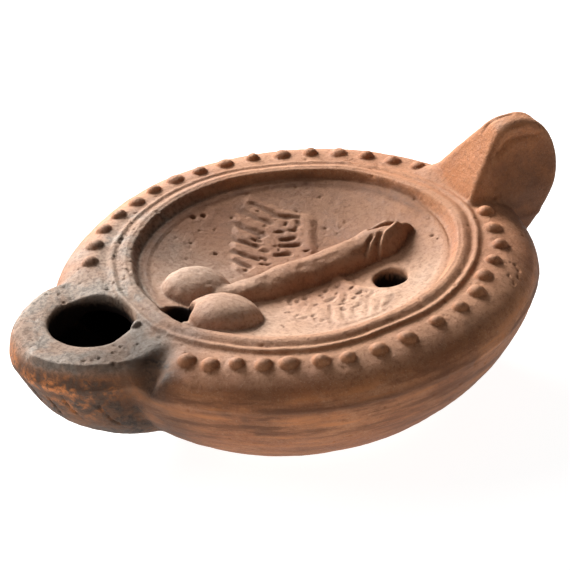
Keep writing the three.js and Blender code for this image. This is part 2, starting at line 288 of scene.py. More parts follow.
RIGHT_CUTS = [
    ([(18.95, 8.54), (19.79, 8.22), (20.72, 7.21)], 0.55, 0.6),
    ([(21.03, 6.81), (21.76, 5.89)], 0.25, 0.4),
    ([(15.14, 7.13), (15.75, 6.03)], 0.32, 0.34),
    ([(13.40, 5.67), (13.54, 5.17)], 0.5, 0.32),
    ([(11.06, 5.31), (11.26, 4.81)], 0.35, 0.34),
    ([(14.26, 4.17), (14.67, 3.76)], 0.5, 0.3),
    ([(12.49, 3.70), (13.00, 3.39)], 0.35, 0.32),
    ([(13.73, 2.88), (14.34, 2.17)], 0.5, 0.34),
    ([(15.07, 1.96), (15.38, 1.76)], 0.6, 0.28),
    ([(15.17, 1.26), (15.38, 0.86)], 0.3, 0.3),
    ([(16.76, 3.72), (17.39, 3.71), (17.91, 2.90)], 0.5, 0.36),
    ([(16.64, 0.73), (17.16, 0.52), (17.58, 0.81)], 0.65, 0.36),
    ([(8.48, 4.15), (8.68, 3.75)], 0.4, 0.36),
    ([(8.35, 1.96), (8.76, 1.35)], 0.5, 0.36),
    ([(10.62, 2.73), (10.93, 2.33)], 0.35, 0.3),
    ([(11.85, 1.62), (12.37, 0.91), (12.68, 0.10)], 0.6, 0.42),
    ([(9.07, 0.35), (9.58, -0.15)], 0.45, 0.3),
    ([(10.20, 0.14), (10.71, -0.07)], 0.45, 0.28),
    ([(7.02, -0.23), (7.33, -0.63)], 0.35, 0.3),
    ([(12.47, -1.89), (12.68, -2.20)], 0.55, 0.36),
    ([(8.77, -2.45), (9.38, -2.66)], 0.6, 0.4),
    ([(10.93, -3.18), (11.45, -3.48)], 0.3, 0.3),
    ([(9.30, -4.06), (9.81, -4.27)], 0.45, 0.32),
    ([(7.87, -4.95), (8.80, -5.36), (9.73, -5.57)], 0.5, 0.34),
    ([(11.92, -7.22), (12.75, -7.03)], 0.3, 0.36),
    ([(14.40, -6.35), (14.82, -6.96)], 0.28, 0.34),
    ([(16.03, -4.26), (16.88, -4.78)], 0.45, 0.32),
    ([(19.07, -3.53), (19.40, -4.34)], 0.35, 0.32),
    ([(17.82, -4.80), (19.41, -5.34)], 0.3, 0.26),
    ([(14.34, -0.52), (17.16, -1.68), (19.60, -2.94), (21.08, -3.47), (22.36, -3.11)], 0.34, 0.36),
    ([(21.28, 0.03), (22.34, -0.40)], 0.3, 0.3),
    ([(21.49, -0.98), (22.67, -1.41)], 0.35, 0.32),
    ([(16.06, 5.83), (19.50, 3.96), (22.67, 2.39)], 0.2, 0.34),
    ([(18.11, 2.20), (21.07, 0.83), (23.73, -0.34)], 0.22, 0.34),
    ([(17.69, 0.21), (20.43, -0.95), (22.67, -2.21)], 0.2, 0.3),
    ([(18.49, 6.57), (21.31, 4.91), (23.65, 3.86)], 0.16, 0.34),
]
LEFT_FAN = [(-23.24, 2.11), (-23.14, 3.21), (-20.29, 4.77), (-17.42, 6.23), (-15.77, 7.85), (-14.2, 9.36), (-13.13, 9.77), (-11.11, 9.01), (-8.71, 7.75), (-5.11, 6.2), (-2.5, 5.2), (-1.6, -6.8),
            (-3.5, -7.71), (-5.75, -8.53), (-8.01, -8.45), (-9.4, -7.25), (-11.56, -6.37), (-13.02, -5.59), (-15.24, -4.62), (-16.6, -3.64), (-19.08, -2.89), (-20.23, -1.41), (-22.5, 0.23)]
LEFT_EDGE = [(-22.4, 2.5), (-19.9, 3.95), (-17.0, 5.35), (-14.95, 6.95), (-13.6, 8.55), (-12.5, 8.7), (-10.9, 7.8), (-8.2, 6.4), (-4.8, 5.1)]
RIGHT_FAN = [(5.15, 5.27), (7.8, 5.45), (10.06, 5.72), (11.53, 6.7), (13.63, 8.15), (15.22, 9.41), (17.74, 9.66), (19.43, 9.62), (21.09, 8.29), (22.22, 6.38), (23.6, 4.34), (23.8, 0.33), (23.2, -3.24),
             (21.87, -4.8), (19.87, -5.96), (16.08, -5.67), (15.39, -7.78), (11.97, -8.22), (9.36, -6.37), (4.0, -5.85)]
RIGHT_EDGE = [(5.5, 4.9), (10.3, 5.1), (11.9, 5.95), (14.0, 7.5), (15.6, 8.7), (17.9, 9.0)]


def path(x, y, pts):
    """Distance to a run of points, and how far along it (0 to 1)."""
    best, share = np.full_like(x, 1e9), np.zeros_like(x)
    for k, (a, b) in enumerate(zip(pts[:-1], pts[1:])):
        q, t = along(x, y, a, b)
        nearer = q < best
        best = np.where(nearer, q, best)
        share = np.where(nearer, (k + t) / (len(pts) - 1), share)
    return best, share


def cut(H, x, y, cuts, deep):
    rough = 1 + 0.32 * noise(x, y, x * 0, 0.8, 18)
    for pts, depth, half in cuts:
        q, t = path(x, y, pts)
        q = q * rough
        H = H - deep * depth * np.exp(-((q / half) ** 2)) * (0.75 + 0.25 * np.sin(math.pi * np.clip(t, 0, 1)))
    return H


def relief():
    n = int(2 * HM_R / HM_STEP) + 1
    g = -HM_R + HM_STEP * np.arange(n)
    x, y = np.meshgrid(g, g, indexing="ij")
    x, y = x.astype(F), y.astype(F)
    zero = np.zeros_like(x)
    # hand-made wobble of every outline
    wx = x + 0.22 * noise(x, y, zero, 3.1, 3) + 0.10 * noise(x, y, zero, 1.3, 4)
    wy = y + 0.22 * noise(x, y, zero, 2.9, 5) + 0.10 * noise(x, y, zero, 1.2, 6)

    H = np.zeros_like(x)

    # left wing: a raised fan under one bent leading edge, cut by long grooves and a row of short ones
    fan = polygon_distance(wx, wy, LEFT_FAN)
    left = (0.50 + 0.35 * smoothstep(-22, -8, x)) * smoothstep(0.45, -0.75, fan)
    bar, share = path(wx, wy, LEFT_EDGE)
    left = np.maximum(left, (0.62 + 0.33 * share) * dome(bar / (1.3 + 0.4 * share), 2, 0.85))
    left = smax_np(left, 0.5 * dome(along(wx, wy, (-4.8, 4.6), (-4.4, -4.5))[0] / 1.0, 2, 0.8) * (x < 0), 0.2)
    left = cut(left, wx, wy, LEFT_CUTS, 1.12 + 0.3 * noise(x, y, zero, 1.4, 16))
    # right wing, worn: a low smooth leading edge, rows of small scales, faint long feathers
    fan = polygon_distance(wx, wy, RIGHT_FAN)
    right = 0.50 * smoothstep(0.5, -0.7, fan)
    bar, share = path(wx, wy, RIGHT_EDGE)
    right = np.maximum(right, (0.85 - 0.25 * share) * dome(bar / 1.5, 2, 0.8))
    right = right + 0.10 * noise(wx * 0.55 + wy * 0.25, wy * 0.9 + wx * 0.45, zero, 0.9, 15) * smoothstep(0, -1.2, fan)
    right = cut(right, wx, wy, RIGHT_CUTS, 1.3 + 0.3 * noise(x, y, zero, 1.4, 17))
    H = H + np.where(x < 1.2, left, right)
    CUTS = np.maximum(cut(zero, wx, wy, LEFT_CUTS, -1.0), 0) * (x < 1.2) + np.maximum(cut(zero, wx, wy, RIGHT_CUTS, -1.0), 0) * (x >= 1.2)

    # shaft: narrower and lower towards its root
    q, t = along(wx, wy, (2.9, -15.0), (1.55, 14.0))
    width = 2.6 + 1.4 * smoothstep(0.0, 0.42, t) - 0.1 * smoothstep(0.75, 1.0, t)
    B = (2.5 + 1.2 * smoothstep(0.0, 0.5, t)) * dome(q / width, 2.1, 0.55)
    # glans: a pointed oval; the skin is turned back over its far side in a hood with a raised edge
    taper = 1 - 0.62 * smoothstep(15.5, 21.6, wy)
    B = smax_np(B, 3.7 * lump(2.2 + (wx - 2.2 + 0.9 * smoothstep(17, 21.6, wy)) / taper, wy, 2.2, 15.6, 3.75, 6.4, 0.0, 2.1, 0.6), 0.4)
    B = smax_np(B, 3.1 * lump(wx, wy, -0.2, 16.5, 2.1, 4.1, 0.16, 2.2, 0.6), 0.3)
    solid_here = smoothstep(0.3, 1.4, B)
    q, t = path(wx, wy, [(1.7, 18.9), (2.3, 17.9), (2.9, 16.8), (3.6, 15.4), (4.7, 14.4), (6.2, 13.7)])
    B = B + 0.50 * np.exp(-((q / 0.45) ** 2)) * solid_here
    for pts, d, w in [([(0.0, 14.9), (0.6, 16.9), (0.9, 18.4)], 1.0, 0.5), ([(3.0, 15.0), (3.9, 13.9), (6.4, 12.5)], 0.7, 0.45), ([(2.5, 13.7), (3.3, 12.5), (4.6, 11.2)], 0.55, 0.32),
                      ([(4.4, 17.3), (5.2, 15.9), (6.2, 15.0)], 0.3, 0.4)]:
        q, t = path(wx, wy, pts)
        B = B - d * np.exp(-((q / w) ** 2)) * solid_here
    # the two round lumps at its root
    B = smax_np(B, 3.9 * lump(wx, wy, -1.7, -17.2, 5.7, 6.2, 0.35, 2.1, 0.55), 0.9)
    B = smax_np(B, 4.1 * lump(wx, wy, 9.2, -17.3, 6.5, 6.5, -0.5, 2.1, 0.55), 0.6)
    # a chip on the shaft, scrapes
    B = B - 0.16 * np.exp(-(((wx - 3.2) / 0.9) ** 2 + ((wy - 0.1) / 0.8) ** 2)) * smoothstep(1, 3, B)
    B = B + (0.10 * noise(wx, wy * 0.35, zero, 1.1, 13) + 0.07 * noise(wx, wy, zero, 0.8, 14)) * solid_here

    # gentle warping of the whole floor and tool drag marks
    H = H + 0.16 * fbm(x, y, zero, 9.0, 3, 11)
    r = np.hypot(x, y)
    th = np.arctan2(y, x)
    H = H + 0.035 * noise(r * 3.2 + 0.4 * np.sin(th * 2), th * 6, zero, 1.6, 12) * smoothstep(8, 18, r)
    keep = smoothstep(26.2, 25.0, r)
    return (H * keep).astype(F), B.astype(F), CUTS.astype(F)


def smax_np(a, b, k):
    h = np.clip(0.5 + 0.5 * (a - b) / k, 0, 1)
    return b + (a - b) * h + k * h * (1 - h)


HMAP, BIG, CUTMAP = relief()


def height(x, y, table=None):
    M = HMAP if table is None else table
    a = np.clip((x + F(HM_R)) * F(1 / HM_STEP), 0, HMAP.shape[0] - 1.001)
    b = np.clip((y + F(HM_R)) * F(1 / HM_STEP), 0, HMAP.shape[1] - 1.001)
    i, j = a.astype(np.int32), b.astype(np.int32)
    s, t = a - i, b - j
    return (M[i, j] * (1 - s) + M[i + 1, j] * s) * (1 - t) + (M[i, j + 1] * (1 - s) + M[i + 1, j + 1] * s) * t


# ------------------------------------------------------------------ the solid
def pellets():
    """(angle in degrees, radius, diameter, height) of each pellet of the shoulder row."""
    out = [(-93.9, 32.9, 2.6, 1.0), (-78.7, 32.9, 2.4, 0.8)]
    # the near run strays from the circle: (turn in degrees, outward shift) of each
    stray = [(0, 1.2), (0, 0.9), (0, 0.4), (0, 0), (-0.8, -0.2), (0, 0.2), (-0.7, 0), (-0.5, 0.2), (-0.7, -0.1), (0, -0.9), (-0.5, -0.4), (0.3, -0.4), (1.0, -1.3), (0.8, -0.4), (0, 0), (-0.9, -0.6), (-1.8, -0.3)]
    for i, (turn, shift) in enumerate(stray):
        out.append((-54.6 + 6.6 * i + 0.12 * i * i + 3.6 * math.exp(-(((i - 10) / 1.8) ** 2)) + turn, PELLET_R + 0.2 * math.sin(2.3 * i) + shift, PELLET_D + 0.3 * math.sin(1.7 * i + 1), PELLET_H * (1 + 0.12 * math.sin(4.1 * i))))
    for i in range(16):
        out.append((115 + 8.5 * i - 2.0 * math.exp(-(((i - 12) / 2.6) ** 2)), PELLET_R + 0.2 * math.sin(1.9 * i + 2), PELLET_D + 0.3 * math.sin(2.9 * i), PELLET_H * (1 + 0.12 * math.sin(3.3 * i + 1))))
    return out


PELLETS = pellets()
VALLEY = [(16.9, -30.6, 26.6, 1.5), (18.3, -34.0, 25.2, 2.3), (18.9, -37.8, 21.2, 2.3), (18.2, -39.2, 16.5, 1.8)]


def shoulder_z(r):
    return EQ_Z + SHOULDER_H * math.sqrt(max(0.0, 1 - ((max(r, SHOULDER_R) - SHOULDER_R) / (EQ_R - SHOULDER_R)) ** 2))


def hole(x, y, spec, wob, seed, bulge=0.0):
    cx, cy, a, b = spec
    th = np.arctan2(y - cy, x - cx)
    k = 1 + bulge * np.exp(-(((th - 0.82) / 0.42) ** 2)) + wob * (0.5 * np.sin(2 * th + seed) + 0.35 * np.sin(3 * th + 2 * seed) + 0.25 * np.sin(5 * th + 3 * seed))
    return (np.hypot((x - cx) / a, (y - cy) / b) / k - 1) * F(min(a, b))


def solid(x, y, z):
    r = np.hypot(x, y)
    th = np.arctan2(y, x)
    up = smoothstep(12, 17, z)
    # the body is a little out of true
    rr = r * (1 + 0.0035 * np.sin(2 * th + 0.6) + 0.002 * np.sin(3 * th + 2.0)) + 0.9 * np.exp(-(((np.mod(th + math.radians(140) + math.pi, 2 * math.pi) - math.pi) / 0.34) ** 2)) * smoothstep(33, 38, r)
    low = smoothstep(0.5, 4, z) * smoothstep(19, 12, z)
    rr = rr - low * (0.3 * np.exp(-((th + 0.35) / 0.75) ** 4) + 0.5 * np.exp(-(((th + 1.13) / 0.25) ** 2)))
    ringw = smoothstep(24.8, 26.5, r) * smoothstep(36, 33, r) * up
    rr = rr + ringw * (0.30 * np.sin(3 * th + 0.4) + 0.16 * np.sin(7 * th + 1.1) + 0.22 * noise(x, y, z, 7.0, 21))
    zz = z - up * height(x, y) * smoothstep(27.2, 26.0, r)
    f = BODY(rr, zz)
    # the large lumps of the relief stand on the floor and run into the ring
    near = np.nonzero((r < 27.6) & (z > 17))[0]
    big = height(x[near], y[near], BIG)
    lift = (z[near] - floor_z(r[near]) - big) * F(0.75) + F(4) * (1 - smoothstep(0.0, 0.25, big)) + F(3) * smoothstep(26.0, 27.6, r[near])
    f[near] = smin(f[near], lift, F(0.45))

    # pellets
    g = np.zeros_like(f)
    for deg, pr, pd, ph in PELLETS:
        t = math.radians(deg)
        cx, cy, cz = pr * math.cos(t), pr * math.sin(t), shoulder_z(pr)
        near = np.nonzero((np.abs(x - cx) < 3) & (np.abs(y - cy) < 3) & (z > 18))[0]
        if len(near):
            q = np.sqrt((x[near] - cx) ** 2 + (y[near] - cy) ** 2 + (0.6 * (z[near] - cz)) ** 2) / (pd / 2)
            q = q * (1 + 0.10 * noise(x[near], y[near], z[near], 1.6, 31))
            g[near] = np.maximum(g[near], F(ph) * dome(q, 2.1, 0.72))
    f = f - g

    # nozzle
    cy = NOZZLE_Y + np.maximum(0, NOZZLE_MID - z) * NOZZLE_LEAN
    wob = 0.25 * noise(x, y, z, 9.0, 41)
    # its near side has a squarer edge and runs on straight to the ring as an arm
    near_side = smoothstep(-0.9, 0.1, (x + 0.35 * (y - cy)) / np.maximum(np.hypot(x, y - cy), 1e-3)) * smoothstep(1.0, 5.0, x)
    plan = np.hypot(x, np.where(x > 0, np.minimum(y - cy, 0), y - cy))
    s = np.clip((z - NOZZLE_MID) / (NOZZLE_TOP - NOZZLE_MID), 0, 0.985)
    plan = plan - near_side * F(0.62 * NOZZLE_EDGE) * (1 - np.sqrt(1 - s * s))
    n = NOZ(plan + wob, z - 0.25 * noise(x, y, z * 0, 5.0, 42) * smoothstep(20, 23, z))
    below = F(60) * (1 - smoothstep(15, 18, z))
    n = smax(smax(n, F(32.3) - r - below, F(0.9)), y + F(24), F(0.3))
    f = smin(f, n, F(0.55))

    # valley between the nozzle's near arm and the shoulder
    v = F(9.0) * np.ones_like(f)
    for a, b in zip(VALLEY[:-1], VALLEY[1:]):
        d = [b[m] - a[m] for m in range(3)]
        t = np.clip(((x - a[0]) * d[0] + (y - a[1]) * d[1] + (z - a[2]) * d[2]) / sum(m * m for m in d), 0, 1)
        v = np.minimum(v, np.sqrt((x - a[0] - t * d[0]) ** 2 + (y - a[1] - t * d[1]) ** 2 + (z - a[2] - t * d[2]) ** 2) - (a[3] + (b[3] - a[3]) * t))
    f = smax(f, -v.astype(F), F(1.7))

    # handle
    h = smax(SIDE(y + 0.15 * noise(x, y, z, 6, 52), z), FRONT(x + 0.15 * noise(x, y, z, 7, 51), z), F(1.3))
    h = smax(h, F(32.0) - r - below, F(0.8)) - F(0.1)
    f = smin(f, h, F(0.9) + F(2.2) * smoothstep(-4, -12, x) * smoothstep(31, 26, z))

    # inside
    c = CHAMBER(r, z)
    pocket = (np.sqrt(((x - 0.3) / 9.6) ** 2 + ((y + 35.2) / 11.5) ** 2 + ((z - 15.6) / 6.4) ** 2) - 1) * F(6.4)
    neck = np.maximum((np.hypot((x - 0.3) / 7.8, (z - 15.2) / 5.2) - 1) * F(5.2), np.abs(y + 30.5) - 7)
    c = smin(smin(c, pocket, F(1.5)), neck, F(1.0))
    wick = np.maximum(hole(x, y, WICK, 0.03, 1.0, 0.12), 15 - z)
    fill = np.maximum(hole(x, y, FILL, 0.05, 2.2), 14 - z)
    vent = np.maximum(np.maximum(hole(x, y, VENT, 0.04, 0.4), 14 - z), z - F(26.0))
    f = smax(f, -c, F(0.4))
    f = smax(f, -wick, F(0.8))
    f = smax(f, -fill, F(0.7))
    f = smax(f, -vent, F(0.5))
    return f.astype(F)


# ------------------------------------------------------------------ surface of the solid
def surface():
    h = VOXEL
    lo = np.array([-42.6, -52.6, -1.2])
    size = np.array([85.2, 104.4, 40.2])
    B = 12
    nb = np.ceil(size / (h * B)).astype(int)
    n = nb * B
    ax = [(lo[d] + h * np.arange(n[d] + 1)).astype(F) for d in range(3)]
    bc = [(lo[d] + h * (B * np.arange(nb[d]) + B / 2)).astype(F) for d in range(3)]
    X, Y, Z = np.meshgrid(*bc, indexing="ij")
    f = solid(X.ravel(), Y.ravel(), Z.ravel()).reshape(nb)
    reach = h * B * math.sqrt(3) / 2 * 1.25 + 1.6
    live = np.abs(f) < reach
    big = np.repeat(np.repeat(np.repeat(f, B, 0), B, 1), B, 2)
    G = np.empty(n + 1, F)
    G[:-1, :-1, :-1] = big
    G[-1], G[:, -1], G[:, :, -1] = 5, 5, 5
    G = np.where(G > 0, F(5), F(-5))
    lv = np.zeros(n + 1, bool)
    up = np.repeat(np.repeat(np.repeat(live, B, 0), B, 1), B, 2)
    for di in (0, 1):
        for dj in (0, 1):
            for dk in (0, 1):
                lv[di:n[0] + di, dj:n[1] + dj, dk:n[2] + dk] |= up
    idx = np.flatnonzero(lv)
    i, j, k = np.unravel_index(idx, lv.shape)
    out = np.empty(len(idx), F)
    for a in range(0, len(idx), 400000):
        s = slice(a, a + 400000)
        out[s] = solid(ax[0][i[s]], ax[1][j[s]], ax[2][k[s]])
    G.ravel()[idx] = out
    del lv, up, big

    # one vertex in each cell that the surface crosses
    neg = G < 0
    count = np.zeros(n, np.int8)
    for di in (0, 1):
        for dj in (0, 1):
            for dk in (0, 1):
                count += neg[di:n[0] + di, dj:n[1] + dj, dk:n[2] + dk]
    ci, cj, ck = np.nonzero((count > 0) & (count < 8))
    ident = np.full(n, -1, np.int32)
    ident[ci, cj, ck] = np.arange(len(ci))
    corners = [(a, b, c) for a in (0, 1) for b in (0, 1) for c in (0, 1)]
    val = {c: G[ci + c[0], cj + c[1], ck + c[2]] for c in corners}
    acc = np.zeros((len(ci), 3), F)
    num = np.zeros(len(ci), F)
    for c in corners:
        for d in range(3):
            if c[d] == 0:
                e = tuple(c[m] + (m == d) for m in range(3))
                a, b = val[c], val[e]
                cross = (a < 0) != (b < 0)
                t = np.where(cross, a / np.where(cross, a - b, 1), 0)
                for m in range(3):
                    acc[:, m] += np.where(cross, c[m] + (t if m == d else 0), 0)
                num += cross
    cell = np.stack([ci, cj, ck], 1).astype(F)
    V = (lo.astype(F) + F(h) * (cell + acc / num[:, None])).astype(F)
    quads = []
    for d in range(3):
        a, b = (d + 1) % 3, (d + 2) % 3
        lo_s, hi_s = [slice(None)] * 3, [slice(None)] * 3
        lo_s[d], hi_s[d] = slice(0, -1), slice(1, None)
        s0, s1 = neg[tuple(lo_s)], neg[tuple(hi_s)]
        e = np.stack(np.nonzero(s0 != s1), 1)
        ok = (e[:, a] > 0) & (e[:, b] > 0) & (e[:, a] < n[a]) & (e[:, b] < n[b])
        e = e[ok]
        first = s0[e[:, 0], e[:, 1], e[:, 2]]
        q = []
        for oa, ob in ((-1, -1), (0, -1), (0, 0), (-1, 0)):
            m = e.copy()
            m[:, a] += oa
            m[:, b] += ob
            q.append(ident[m[:, 0], m[:, 1], m[:, 2]])
        q = np.stack(q, 1)
        q[~first] = q[~first][:, ::-1]
        quads.append(q)
    Q = np.concatenate(quads)
    return V, Q


def gradient(x, y, z, e=0.12, fn=None):
    fn = fn or solid
    gx = fn(x + F(e), y, z) - fn(x - F(e), y, z)
    gy = fn(x, y + F(e), z) - fn(x, y - F(e), z)
    gz = fn(x, y, z + F(e)) - fn(x, y, z - F(e))
    g = np.stack([gx, gy, gz], 1) / F(2 * e)
    return g


def settle(V, rounds=2):
    for _ in range(rounds):
        f = solid(V[:, 0], V[:, 1], V[:, 2])
        g = gradient(V[:, 0], V[:, 1], V[:, 2])
        L = np.maximum((g * g).sum(1), 0.15)
        step = np.clip(f / L, -0.2, 0.2)
        V = V - g * step[:, None]
    return V


# ------------------------------------------------------------------ wear: pits, cracks, scratches, grit
def rnd(seed):
    return np.random.default_rng(seed)


def add_pits(V, N, D, spots):
    for cx, cy, cz, rad, depth in spots:
        near = np.nonzero((np.abs(V[:, 0] - cx) < rad * 1.6) & (np.abs(V[:, 1] - cy) < rad * 1.6) & (np.abs(V[:, 2] - cz) < rad * 2.5 + 1.2))[0]
        if len(near):
            q = np.sqrt((V[near, 0] - cx) ** 2 + (V[near, 1] - cy) ** 2 + 0.3 * (V[near, 2] - cz) ** 2) / rad
            D[near] -= F(depth) * np.clip(1 - q * q, 0, 1) ** 1.2


def add_line(V, D, pts, width, depth, seed=0, wander=0.0):
    """A crack or scratch along a run of 3-D points on the surface."""
    pts = np.array(pts, float)
    lo, hi = pts.min(0) - 2 * width - 1, pts.max(0) + 2 * width + 1
    near = np.nonzero(((V > lo) & (V < hi)).all(1))[0]
    if not len(near):
        return
    P = V[near].astype(float)
    if wander:
        P = P + wander * np.stack([noise(*P.T.astype(F), 1.7, seed + 1), noise(*P.T.astype(F), 1.7, seed + 2), noise(*P.T.astype(F), 1.7, seed + 3)], 1)
    best = np.full(len(near), 1e9)
    for a, b in zip(pts[:-1], pts[1:]):
        d = b - a
        t = np.clip((P - a) @ d / (d @ d), 0, 1)
        best = np.minimum(best, np.linalg.norm(P - a - t[:, None] * d, axis=1))
    D[near] -= (depth * np.exp(-((best / width) ** 2))).astype(F)


def wear(V, N):
    x, y, z = V[:, 0], V[:, 1], V[:, 2]
    r = np.hypot(x, y)
    D = np.zeros(len(V), F)
    noz = np.exp(-(((x - 0.9) / 17) ** 2 + ((y + 38) / 14) ** 2))
    D += 0.075 * fbm(x, y, z, 1.9, 3, 71)
    D += 0.05 * noz * fbm(x, y, z, 1.1, 2, 72)
    D += 0.12 * fbm(x, y, z, 11.0, 2, 73)
    # turning and wiping marks run round the belly
    D += 0.035 * noise(x * 0.15, y * 0.15, z, 0.9, 74) * smoothstep(33, 36, r) * smoothstep(20, 17, z)
    # seam of the two mould halves
    D += 0.22 * np.exp(-(((z - EQ_Z + 0.35) / 0.45) ** 2)) * smoothstep(38, 40, r) * (0.55 + 0.45 * noise(x, y, z * 0, 6.0, 75))
    return D


# ------------------------------------------------------------------ pits, cracks and scratches by place
def top_z(cx, cy):
    """Height of the outer surface over a point of the plan, found by walking down."""
    zs = np.arange(38.5, 3.0, -0.1).astype(F)
    f = solid(np.full_like(zs, cx), np.full_like(zs, cy), zs)
    k = np.flatnonzero(f < 0)
    return float(zs[k[0]]) if len(k) else 0.0


def pit_list():
    g = rnd(5)
    spots = []
    for cx, cy, rad, dep in [(-22.06, -6.72, 0.6, 0.6), (-22.22, -8.54, 0.6, 0.6), (-11.69, -9.34, 0.5, 0.45), (-9.4, 10.5, 0.4, 0.3), (16.7, -10.3, 0.4, 0.3), (-17.2, 13.4, 0.35, 0.3), (-19.8, -2.4, 0.4, 0.3),
                             (8.4, -12.4, 0.4, 0.3), (17.6, -10.4, 0.4, 0.25), (6.2, 23.2, 0.5, 0.3), (25.0, 17.4, 0.35, 0.3)]:
        spots.append((cx, cy, top_z(cx, cy), rad, dep))
    # scattered small pits over the top, more of them on the ring by the nozzle
    for k in range(260):
        t, rr = g.uniform(0, 2 * math.pi), math.sqrt(g.uniform(0.0, 1.0)) * 39
        cx, cy = rr * math.cos(t), rr * math.sin(t)
        spots.append((cx, cy, top_z(cx, cy), g.uniform(0.18, 0.38), g.uniform(0.08, 0.25)))
    for k in range(70):
        t, rr = math.radians(g.uniform(-150, -95)), g.uniform(26.5, 32.5)
        cx, cy = rr * math.cos(t), rr * math.sin(t)
        spots.append((cx, cy, top_z(cx, cy), g.uniform(0.18, 0.42), g.uniform(0.12, 0.32)))
    for k in range(90):
        t, rr = g.uniform(0, 2 * math.pi), g.uniform(8.6, 15.2)
        cx, cy = 0.9 + rr * math.cos(t), -37.0 + rr * math.sin(t)
        if math.hypot(cx, cy) > 32.5:
            spots.append((cx, cy, top_z(cx, cy), g.uniform(0.2, 0.5), g.uniform(0.08, 0.28)))
    # pits and grit down the sides
    for k in range(300):
        t = g.uniform(0, 2 * math.pi)
        u = g.uniform(0.25, 1.45)
        rr = FOOT_R + (EQ_R - FOOT_R) * math.sin(u) ** BELLY_POW
        zz = EQ_Z * (1 - math.cos(u) ** BELLY_POW)
        spots.append((rr * math.cos(t), rr * math.sin(t), zz, g.uniform(0.2, 0.45), g.uniform(0.08, 0.22)))
    return spots


def add_marks(V, D):
    def on(cx, cy):
        return (cx, cy, top_z(cx, cy))

    # crack across the right shoulder, a fainter one beside it, and a gouge in the far ring
    add_line(V, D, [on(22.5, 30.2), on(24.6, 29.4), on(26.0, 28.9)], 0.24, 0.38, 91, 0.5)
    add_line(V, D, [on(25.4, 27.6), on(27.2, 26.8)], 0.22, 0.26, 92, 0.5)
    add_line(V, D, [on(-21.6, 22.4), on(-19.8, 24.0)], 0.4, 0.5, 93, 0.3)
    add_line(V, D, [on(31.0, 24.0), on(33.5, 24.6), on(36.0, 23.8)], 0.16, 0.08, 94, 0.6)
    add_line(V, D, [on(31.5, 20.5), on(34.0, 20.8), on(37.0, 19.6)], 0.14, 0.06, 95, 0.6)
    # dark vertical cracks in the nozzle flank below the rim
    for px, z0, z1, w in [(3.0, 19.5, 14.5, 0.3), (9.6, 18.0, 13.0, 0.25), (-3.4, 18.0, 14.5, 0.22), (13.4, 16.5, 12.0, 0.25), (6.4, 17.0, 11.5, 0.2)]:
        pts = []
        for s in np.linspace(0, 1, 4):
            z = z0 + (z1 - z0) * s
            t = math.acos(max(0.0, min(1.0, ((NOZZLE_MID - z) / (NOZZLE_MID - NOZZLE_BOTTOM)))) ** (1 / 0.55)) if z < NOZZLE_MID else math.pi / 2
            rad = NOZZLE_R * math.sin(math.pi / 2 - 0) * (1.0 if z >= NOZZLE_MID else math.sin(math.acos((1 - (z - NOZZLE_BOTTOM) / (NOZZLE_MID - NOZZLE_BOTTOM)) ** (1 / 0.55))))
            cy = NOZZLE_Y + max(0, NOZZLE_MID - z) * NOZZLE_LEAN
            if abs(px) < rad:
                pts.append((px + 0.2 * math.sin(5 * s + px), cy - math.sqrt(rad * rad - px * px), z))
        if len(pts) > 1:
            add_line(V, D, pts, w, 0.4, int(100 + px), 0.4)
    # groove along the handle's crest and the bevel on its near side
    add_line(V, D, [(-3.6, 37.5, 34.6), (-3.4, 39.8, 36.4), (-3.0, 42.0, 37.3), (-2.8, 44.0, 37.3)], 0.45, 0.35, 120, 0.3)
    add_line(V, D, [(1.2, 38.6, 32.6), (1.0, 41.0, 34.4), (0.9, 44.0, 34.9), (0.9, 46.6, 33.8)], 0.55, 0.4, 121, 0.3)
    # foot of the handle
    add_line(V, D, [(3.4, 32.6, 25.0), (3.5, 35.5, 24.6), (3.5, 38.5, 22.8)], 0.35, 0.4, 122, 0.4)


